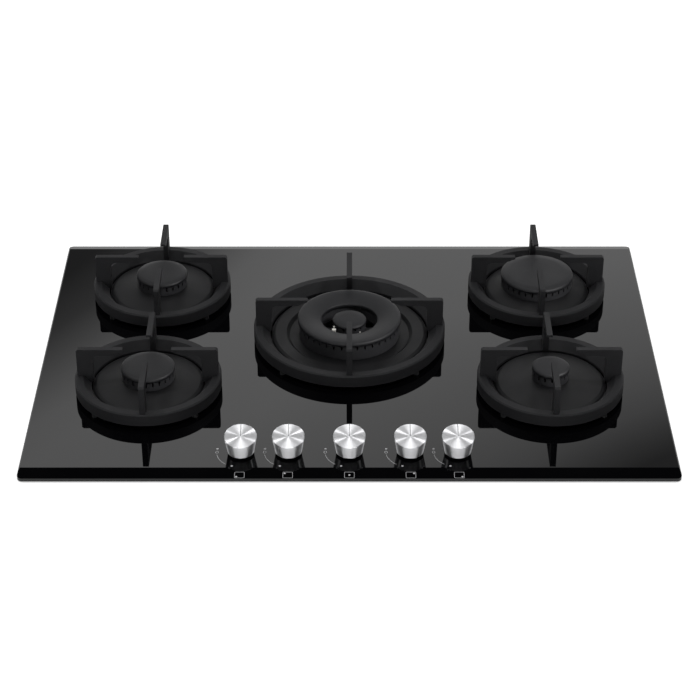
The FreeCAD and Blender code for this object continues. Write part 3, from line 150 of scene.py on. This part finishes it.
behind = add(sky, "Math", links={0: ray.outputs["Is Camera Ray"], 1: ray.outputs["Is Transmission Ray"]},
             operation="MAXIMUM")
shown = add(sky, "Mix", {3: 1.0}, {0: behind.outputs[0], 2: glossy.outputs[0]})
glow = add(sky, "Background", links={"Color": shown.outputs[0]})
add(sky, "OutputWorld", links={"Surface": glow.outputs[0]})
lamps = {}
for name, place, power, width in (("right_softbox", (0.95, 0.08, 1.25), 4.5, 0.14),
                                  ("left_softbox", (-0.95, 0.08, 1.25), 4.5, 0.14),
                                  ("burner_softbox", (1.0, -0.45, 0.98), 24.0, 0.3)):
    lamp = bpy.data.lights.new(name, "AREA")
    lamp.energy, lamp.size = power, width
    lamps[name] = bpy.data.objects.new(name, lamp)
    lamps[name].location = place
    aim = Vector((0, -0.2, 0)) - Vector(place)
    lamps[name].rotation_euler = aim.to_track_quat("-Z", "Y").to_euler()
    bpy.context.collection.objects.link(lamps[name])
burner_metal = bpy.data.collections.new("burner_metal")
lamps["burner_softbox"].light_linking.receiver_collection = burner_metal
lamps["burner_softbox"].light_linking.blocker_collection = burner_metal
for name, piece in nodes.items():
    if name.startswith(("cap_", "crown_")):
        burner_metal.objects.link(piece)

# Table: the white surface that the glass lies on, with the cut-out under the glass that the box
# hangs in. Paper white to the eye, and it keeps the hob's shadow.


def build(name, bm, *materials):
    """Makes an object at the origin from a finished bmesh, and frees the bmesh."""
    mesh = bpy.data.meshes.new(name)
    bm.to_mesh(mesh)
    bm.free()
    made = bpy.data.objects.new(name, mesh)
    bpy.context.collection.objects.link(made)
    for material in materials:
        made.data.materials.append(material)
    return made


paper = bpy.data.materials.new("white_table")
paper.use_nodes = True
tree = paper.node_tree
tree.nodes.clear()
ray = add(tree, "LightPath")
seen_in_metal = add(tree, "Math", {1: 0.15}, {0: ray.outputs["Is Glossy Ray"]}, operation="MULTIPLY")
looked_at = add(tree, "Math", {1: 0.5}, {0: ray.outputs["Is Camera Ray"], 2: seen_in_metal.outputs[0]},
                operation="MULTIPLY_ADD")
matte = add(tree, "BsdfDiffuse", {"Color": (0.75, 0.75, 0.75, 1)})
lift = add(tree, "Emission", {"Color": (1, 1, 1, 1)}, {"Strength": looked_at.outputs[0]})
both = add(tree, "AddShader", links={0: matte.outputs[0], 1: lift.outputs[0]})
add(tree, "OutputMaterial", links={"Surface": both.outputs[0]})
bm = bmesh.new()
for half_width, half_depth in ((6, 6), (0.28, 0.24)):
    bmesh.ops.create_grid(bm, x_segments=1, y_segments=1, size=1,
                          matrix=Matrix.Diagonal((half_width, half_depth, 1, 1)))
bmesh.ops.delete(bm, geom=bm.faces[:], context="FACES_ONLY")
bmesh.ops.bridge_loops(bm, edges=bm.edges[:])
table = build("table", bm, paper)

# Glass top: one plate of 6 mm toughened float glass, enamelled black underneath, with a ground and
# polished slope along its front. A skin of fingerprints and wiping changes its gloss a little.


def linear(code):
    """An sRGB colour such as '1A1A1C' as linear red, green, blue and alpha."""
    shares = [int(code[i:i + 2], 16) / 255 for i in (0, 2, 4)]
    return (*(s / 12.92 if s <= 0.04045 else ((s + 0.055) / 1.055) ** 2.4 for s in shares), 1)


def finish_of(name, **sockets):
    """A new material with its shader's own sockets set, and its tree."""
    made = bpy.data.materials.new(name)
    made.use_nodes = True
    shader = made.node_tree.nodes["Principled BSDF"]
    for socket, value in sockets.items():
        shader.inputs[socket.replace("_", " ")].default_value = value
    return made, made.node_tree, shader


def ramp(tree, share, dark, light):
    """Blends between two colours by a share from 0 to 1."""
    made = add(tree, "ValToRGB", links={0: share})
    made.color_ramp.elements[0].color, made.color_ramp.elements[1].color = linear(dark), linear(light)
    return made


def dress(material, *names):
    """Gives CAD nodes a material in place of their plain one."""
    for name in names:
        for slot in nodes[name].material_slots:
            slot.material = material


black_glass, tree, shader = finish_of("black_float_glass", Roughness=0.02, IOR=1.52)
where = add(tree, "TexCoord").outputs["Object"]
smear = add(tree, "TexNoise", {"Scale": 14, "Detail": 4}, {"Vector": where})
add_gloss = add(tree, "MapRange", {"From Min": 0.35, "From Max": 0.7, "To Min": 0.012, "To Max": 0.035},
                {"Value": smear.outputs["Fac"]})
upright = add(tree, "SeparateXYZ", links={0: add(tree, "NewGeometry").outputs["Normal"]})
ground = add(tree, "MapRange", {"From Min": 0.3, "From Max": 0.6, "To Min": 0.12, "To Max": 0.0},
             {"Value": upright.outputs["Z"]})
gloss = add(tree, "Math", links={0: add_gloss.outputs[0], 1: ground.outputs[0]}, operation="MAXIMUM")
tree.links.new(gloss.outputs[0], shader.inputs["Roughness"])
tint = ramp(tree, smear.outputs["Fac"], "020203", "050506")
tree.links.new(tint.outputs["Color"], shader.inputs["Base Color"])
dress(black_glass, "glass_top")

# Printed marks: pale ceramic ink fired onto the glass by each knob, an arc with two flames at its
# end, a dot for off, and on the slope a small frame with a dot at the burner's place.
ink, tree, shader = finish_of("fired_ceramic_ink", Roughness=0.45, IOR=1.5)
where = add(tree, "TexCoord").outputs["Object"]
mesh_dots = add(tree, "TexNoise", {"Scale": 2500, "Detail": 1}, {"Vector": where})
pale = ramp(tree, mesh_dots.outputs["Fac"], "8E8E90", "C9C9CB")
tree.links.new(pale.outputs["Color"], shader.inputs["Base Color"])
knob_row, knob_places = -0.213, (-0.124, -0.0695, 0.0, 0.0695, 0.124)
glass_level, ink_lift, slope = 0.007, 0.00004, math.atan(2 / 18.5)
arc_radius, arc_start, arc_turn, stroke = 0.0275, math.radians(8), math.radians(46), 0.0006
off_angle, off_radius, off_dot = math.radians(250), 0.0273, 0.0013
low_flame, low_flame_y, high_flame, high_flame_y, flame_stretch = 0.0019, 0.0006, 0.0014, 0.0076, 1.6
frame_sides, frame_y, frame_corner, frame_line, burner_dot = (0.0114, 0.0101), -0.254, 0.0012, 0.0004, 0.0012
slope_drop = 0.0125 * math.tan(slope)
burner_dots = ((-0.0035, -0.0028), (-0.0035, 0.0028), (0, 0), (0.0035, 0.0028), (0.0035, -0.0028))


def disc(bm, radius, x, y, segments=20):
    """Adds a flat round dot and gives its corners."""
    return bmesh.ops.create_circle(bm, cap_ends=True, segments=segments, radius=radius,
                                   matrix=Matrix.Translation((x, y, 0)))["verts"]


def hollow(bm, faces, width):
    """Leaves a line of that width along the edge of flat faces."""
    bmesh.ops.inset_region(bm, faces=faces, thickness=width, use_boundary=True, use_even_offset=True)
    bmesh.ops.delete(bm, geom=faces, context="FACES")


for number, (knob_x, (dot_x, dot_y)) in enumerate(zip(knob_places, burner_dots), start=1):
    bm = bmesh.new()
    ends = [bm.verts.new((-arc_radius - half_width, 0, 0)) for half_width in (-stroke / 2, stroke / 2)]
    start = bm.edges.new(ends)
    bmesh.ops.rotate(bm, verts=ends, cent=(0, 0, 0), matrix=Matrix.Rotation(arc_start, 3, "Z"))
    bmesh.ops.spin(bm, geom=[*ends, start], cent=(0, 0, 0), axis=(0, 0, 1), angle=arc_turn, steps=22)
    disc(bm, off_dot, off_radius * math.cos(off_angle), off_radius * math.sin(off_angle))
    disc(bm, high_flame, 0.0002 - arc_radius, high_flame_y, segments=12)
    flame = disc(bm, low_flame, -arc_radius, low_flame_y)
    bmesh.ops.scale(bm, vec=(1, flame_stretch, 1), verts=[vert for vert in flame if vert.co.y > low_flame_y],
                    space=Matrix.Translation((0, -low_flame_y, 0)))
    hollow(bm, list({face for vert in flame for face in vert.link_faces}), stroke)
    bmesh.ops.transform(bm, matrix=Matrix.Translation((knob_x, knob_row, glass_level + ink_lift)),
                        verts=bm.verts)
    flat_marks = set(bm.verts)
    corners = bmesh.ops.create_grid(bm, x_segments=1, y_segments=1, size=0.5,
                                    matrix=Matrix.Diagonal((*frame_sides, 1, 1)))["verts"]
    bmesh.ops.bevel(bm, geom=corners, offset=frame_corner, segments=4, profile=0.5, affect="VERTICES",
                    material=-1)
    hollow(bm, [face for face in bm.faces if flat_marks.isdisjoint(face.verts)], frame_line)
    disc(bm, burner_dot, dot_x, dot_y, segments=16)
    on_slope = (Matrix.Translation((knob_x, frame_y, glass_level - slope_drop + ink_lift))
                @ Matrix.Rotation(slope, 4, "X"))
    bmesh.ops.transform(bm, matrix=on_slope, verts=[vert for vert in bm.verts if vert not in flat_marks])
    bmesh.ops.recalc_face_normals(bm, faces=bm.faces)
    for face in bm.faces:
        if face.normal.z < 0:
            face.normal_flip()
    mark = build(f"printed_mark_{number}", bm, ink)
    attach(mark, "root")

# Seal strip: closed-cell foam tape stuck under the rim of the glass, which keeps spills out of the
# cut-out. Its skin is dull and very slightly pitted.


def speckled(name, dark, light, grain_mm, relief_mm, rough, **sockets):
    """A matte finish that varies in colour, gloss and height over grains of a real size."""
    made, tree, shader = finish_of(name, **sockets)
    where = add(tree, "TexCoord").outputs["Object"]
    grain = add(tree, "TexNoise", {"Scale": 1000 / grain_mm, "Detail": 3, "Roughness": 0.6},
                {"Vector": where})
    cloud = add(tree, "TexNoise", {"Scale": 22, "Detail": 3}, {"Vector": where})
    amount = add(tree, "Math", {1: 0.5}, {0: grain.outputs["Fac"]}, operation="MULTIPLY")
    drift = add(tree, "Math", {1: 0.5}, {0: cloud.outputs["Fac"], 2: amount.outputs[0]},
                operation="MULTIPLY_ADD")
    colours = ramp(tree, drift.outputs[0], dark, light)
    tree.links.new(colours.outputs["Color"], shader.inputs["Base Color"])
    gloss = add(tree, "MapRange", {"From Min": 0.3, "From Max": 0.7, "To Min": rough[0], "To Max": rough[1]},
                {"Value": cloud.outputs["Fac"]})
    tree.links.new(gloss.outputs[0], shader.inputs["Roughness"])
    relief = add(tree, "Bump", {"Strength": 0.6, "Distance": relief_mm / 1000},
                 {"Height": grain.outputs["Fac"]})
    tree.links.new(relief.outputs[0], shader.inputs["Normal"])
    return made


seal_foam = speckled("closed_cell_foam", "141416", "232326", 0.5, 0.05, (0.8, 0.95))
dress(seal_foam, "worktop_seal")

# Burner box: folded and spot-welded sheet steel, hot-dip galvanised, so its zinc has frozen into
# flat crystals about 8 mm across that differ a little in brightness.
galvanised, tree, shader = finish_of("galvanised_sheet", Metallic=1.0, Roughness=0.42)
where = add(tree, "TexCoord").outputs["Object"]
spangle = add(tree, "TexVoronoi", {"Scale": 125}, {"Vector": where})
brightness = add(tree, "RGBToBW", links={0: spangle.outputs["Color"]})
crystal = ramp(tree, brightness.outputs[0], "9A9DA0", "C4C7CA")
tree.links.new(crystal.outputs["Color"], shader.inputs["Base Color"])
facets = add(tree, "MapRange", {"To Min": 0.34, "To Max": 0.52}, {"Value": spangle.outputs["Distance"]})
tree.links.new(facets.outputs[0], shader.inputs["Roughness"])
dress(galvanised, "burner_box")

# Hold-down clamps, manifold, tap covers, clamp rings and screws: mild steel with a bright zinc
# plating, faintly bluish and cloudy from the passivating bath.
zinc_plate = speckled("bright_zinc_plate", "A3A6AC", "C2C4C8", 0.6, 0.01, (0.28, 0.42), Metallic=1.0)
dress(zinc_plate, "hold_down_clamps", "gas_manifold", "tap_covers", "clamp_rings", "fixing_screws")

# Brackets, tap bodies and burner cups: pressure die-cast aluminium as it leaves the tool, pale
# grey with a dull skin.
die_cast = speckled("die_cast_aluminium", "8C8D8F", "ABACAE", 0.8, 0.03, (0.45, 0.6), Metallic=1.0)
dress(die_cast, "manifold_brackets", "gas_taps", "burner_cups")

# Supply pipes: soft drawn aluminium tube, bent by machine, with a fine skin from the drawing die
# and a bright, even gloss.
drawn_tube = speckled("drawn_aluminium_tube", "B5B6B8", "CFD0D2", 0.4, 0.005, (0.25, 0.35), Metallic=1.0)
dress(drawn_tube, "supply_pipes")

# Inlet elbow, injectors and tap plugs: free-cutting brass, turned bright on a lathe and slightly
# tarnished, so its yellow varies a little.
brass = speckled("turned_brass", "8F6B2E", "C39B52", 0.5, 0.008, (0.22, 0.4), Metallic=1.0)
dress(brass, "inlet_elbow", "injectors", *(f"tap_plug_{n}" for n in range(1, 6)))

# Spindles and thermocouples: turned stainless steel, the probes a little straw-coloured by heat.
# The wok's probe has a longer tip, which reaches up into the hole of its cap.


def upright_pins(name, place, pins, material):
    """Round pins on one upright axis, each with its bottom, top, foot radius and head radius."""
    bm = bmesh.new()
    for bottom, top, foot, head in pins:
        bmesh.ops.create_cone(bm, cap_ends=True, segments=32, radius1=foot, radius2=head,
                              depth=top - bottom, matrix=Matrix.Translation((*place, (bottom + top) / 2)))
    return build(name, bm, material)


turned_steel = speckled("turned_stainless_steel", "A09A90", "C9C7C3", 0.3, 0.004, (0.2, 0.32),
                        Metallic=1.0)
dress(turned_steel, "thermocouples", *(f"spindle_{n}" for n in range(1, 6)))
probe_tip = upright_pins("wok_probe_tip", (0.013, 0.005), ((0.0276, 0.0320, 0.0012, 0.0009),), turned_steel)
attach(probe_tip, "root")

# Ignition generator: black glass-filled nylon with the fine spark-eroded grain of its mould, which
# keeps its box from shining.
nylon = speckled("moulded_nylon", "161618", "212123", 0.25, 0.02, (0.5, 0.6), IOR=1.53)
dress(nylon, "ignition_generator")

# Terminal block and tap switches: white moulded nylon with a soft gloss, as electrical parts in
# such hobs have.
white_nylon = speckled("white_nylon", "C9C7C0", "DAD8D2", 0.25, 0.01, (0.4, 0.5), IOR=1.53)
dress(white_nylon, "terminal_block", "ignition_switches")

# Spark plugs: glazed alumina, white and glossy, speckled a little by cooking soot. The wok's plug
# has a long sleeve and a thin electrode, which stand up in the hole of its cap.
alumina = speckled("glazed_alumina", "CFCCC4", "F2F0EA", 0.4, 0.01, (0.12, 0.25), IOR=1.7)
dress(alumina, "spark_plugs")
plug_tip = upright_pins("wok_plug_tip", (-0.019, 0.010),
                        ((0.0255, 0.0328, 0.0026, 0.00234), (0.0328, 0.0370, 0.0008, 0.00072)), alumina)
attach(plug_tip, "root")

# Base plates and caps: pressed steel under satin black vitreous enamel, with the slight
# orange-peel of a fired coat.
satin_enamel = speckled("satin_black_enamel", "0B0B0D", "141416", 1.2, 0.04, (0.50, 0.60), IOR=1.31)
burners = ("left_front", "left_rear", "right_front", "right_rear", "wok")
dress(satin_enamel, "cap_wok_centre", *(f"{part}_{b}" for b in burners for part in ("cap", "base_plate")))

# Caps: pressings of 1.2 mm steel under the same enamel, each a low dome with a rounded brim. The
# wok's ring falls from its brim to a lip that is turned down in the hole, and the small cap in the
# middle stands lower than that brim.
side_seat, wok_seat, sheet = 0.0342, 0.0335, 0.0012
# Each profile runs outwards, as radii and heights over the seat on the crown.
pressings = {
    "cap_wok": [(0.0345, -0.0035), (0.0345, 0.0008), (0.0349, 0.0013), (0.0358, 0.0016), (0.0420, 0.0032),
                (0.0505, 0.0051), (0.0600, 0.0056), (0.0626, 0.0053), (0.0637, 0.0042), (0.0640, 0.0028),
                (0.0640, 0.0006), (0.0634, 0.0)],
    "cap_wok_centre": [(0.0, 0.0025), (0.0105, 0.0025), (0.0190, 0.0017), (0.0203, 0.0011), (0.0209, 0.0003),
                       (0.0210, -0.0008), (0.0208, -0.0022)],
}
for burner in burners[:-1]:
    low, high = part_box(f"cap_{burner}")
    brim = (high[0] - low[0]) / 2
    pressings[f"cap_{burner}"] = [
        (0.0, 0.0062), (brim * 0.4, 0.0061), (brim * 0.75, 0.0058), (brim - 0.0022, 0.0053),
        (brim - 0.0009, 0.0046), (brim - 0.0002, 0.0037), (brim, 0.0028), (brim, 0.0006),
        (brim - 0.0006, 0.0)]
for name, profile in pressings.items():
    low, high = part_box(name)
    middle_x, middle_y = (low[0] + high[0]) / 2, (low[1] + high[1]) / 2
    seat = wok_seat if "wok" in name else side_seat
    bm = bmesh.new()
    rim = [bm.verts.new((radius, 0, height)) for radius, height in profile]
    edges = [bm.edges.new(pair) for pair in zip(rim, rim[1:])]
    bmesh.ops.spin(bm, geom=rim + edges, cent=(0, 0, 0), axis=(0, 0, 1), angle=math.tau, steps=144,
                   use_merge=True)
    bmesh.ops.remove_doubles(bm, verts=bm.verts, dist=1e-6)
    bmesh.ops.recalc_face_normals(bm, faces=bm.faces)
    if max(bm.faces, key=lambda face: face.calc_center_median().z).normal.z < 0:
        bmesh.ops.reverse_faces(bm, faces=bm.faces)
    bmesh.ops.solidify(bm, geom=bm.faces[:], thickness=sheet)
    bmesh.ops.translate(bm, verts=bm.verts, vec=(middle_x, middle_y, seat))
    for face in bm.faces:
        face.smooth = True
    pressed = build(f"pressed_{name}", bm, satin_enamel)
    burner_metal.objects.link(pressed)
    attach(pressed, name)
    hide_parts(name)

# Flame crowns: die-cast aluminium, black coated by hand-held spray, dull from heat between the
# ports that the gas burns at.
crown_coat = speckled("heat_dulled_coating", "141416", "202022", 0.6, 0.03, (0.5, 0.62), IOR=1.4)
dress(crown_coat, *(f"crown_{burner}" for burner in burners))

# Pan supports: cast iron from a sand mould, blasted and finished in matte black enamel, so the
# sand's grain still shows as a fine, soft roughness.
iron = speckled("enamelled_cast_iron", "141416", "1F1F21", 0.9, 0.10, (0.60, 0.72), IOR=1.34)
dress(iron, *(f"pan_support_{burner}" for burner in burners))

# Feet of the pan supports: black silicone rubber, pushed up into the ring, which keeps the iron off
# the glass.
silicone = speckled("silicone_rubber", "060607", "0B0B0C", 0.4, 0.01, (0.7, 0.8), IOR=1.4)
dress(silicone, *(f"support_feet_{burner}" for burner in burners))

# Knobs: aluminium turned on a lathe, so fine grooves run round the axis on face and side and
# spread each lamp into bright spokes. The barrel widens from its foot to meet the rim of the tilted
# face. A thin dark line from the middle shows its setting.
tilt = math.radians(12.8)
knob_axis = (0, -math.sin(tilt), math.cos(tilt))
face_height, foot_gap, foot_radius, rim_radius, rim_depth = 0.0235, 0.0028, 0.01525, 0.01868, 0.0018
line_half_width, line_depth = 0.00035, 0.002
under_rim = Vector((0, 0, face_height)) - rim_depth * Vector(knob_axis)
for number, knob_x in enumerate(knob_places, start=1):
    turned, tree, shader = finish_of(f"turned_aluminium_{number}", Metallic=1.0, Roughness=0.4,
                                     Anisotropic=1.0, Anisotropic_Rotation=0.25)
    where = add(tree, "TexCoord").outputs["Object"]
    centre = add(tree, "VectorMath", {1: (knob_x, knob_row, glass_level + face_height)}, {0: where},
                 operation="SUBTRACT")
    groove = add(tree, "VectorMath", {0: knob_axis}, {1: centre.outputs[0]}, operation="CROSS_PRODUCT")
    along = add(tree, "VectorTransform", links={0: groove.outputs[0]}, vector_type="VECTOR",
                convert_from="OBJECT", convert_to="WORLD")
    tree.links.new(along.outputs[0], shader.inputs["Tangent"])
    off_axis = add(tree, "VectorMath", links={0: groove.outputs[0]}, operation="LENGTH")
    up_axis = add(tree, "VectorMath", {1: knob_axis}, {0: centre.outputs[0]}, operation="DOT_PRODUCT")
    round_axis = add(tree, "CombineXYZ",
                     links={0: off_axis.outputs["Value"], 1: up_axis.outputs["Value"]})
    lathe_lines = add(tree, "TexNoise", {"Scale": 2200, "Detail": 2}, {"Vector": round_axis.outputs[0]})
    metal = ramp(tree, lathe_lines.outputs["Fac"], "C9CACC", "F0F0F2")
    split = add(tree, "SeparateXYZ", links={0: centre.outputs[0]})
    off_middle = add(tree, "Math", links={0: split.outputs["X"]}, operation="ABSOLUTE")
    thin = add(tree, "Math", {1: line_half_width}, {0: off_middle.outputs[0]}, operation="LESS_THAN")
    rear = add(tree, "Math", {1: 0.0}, {0: split.outputs["Y"]}, operation="GREATER_THAN")
    on_face = add(tree, "Math", {1: -line_depth}, {0: up_axis.outputs["Value"]}, operation="GREATER_THAN")
    line = add(tree, "Math", links={0: thin.outputs[0], 1: rear.outputs[0]}, operation="MULTIPLY")
    line = add(tree, "Math", links={0: line.outputs[0], 1: on_face.outputs[0]}, operation="MULTIPLY")
    marked = add(tree, "Mix", {7: linear("4A4A4C")}, {0: line.outputs[0], 6: metal.outputs["Color"]},
                 data_type="RGBA")
    tree.links.new(marked.outputs[2], shader.inputs["Base Color"])
    dress(turned, f"knob_{number}")
    bm = bmesh.new()
    for radius, ring in ((foot_radius, Matrix.Translation((0, 0, foot_gap))),
                         (rim_radius, Matrix.Translation(under_rim) @ Matrix.Rotation(tilt, 4, "X"))):
        bmesh.ops.create_circle(bm, cap_ends=True, segments=128, radius=radius, matrix=ring)
    bmesh.ops.bridge_loops(bm, edges=bm.edges[:])
    bmesh.ops.recalc_face_normals(bm, faces=bm.faces)
    for side in bm.faces:
        side.smooth = len(side.verts) == 4
    for edge in bm.edges:
        edge.smooth = all(side.smooth for side in edge.link_faces)
    bmesh.ops.translate(bm, verts=bm.verts, vec=(knob_x, knob_row, glass_level))
    barrel = build(f"knob_barrel_{number}", bm, turned)
    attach(barrel, f"knob_{number}")
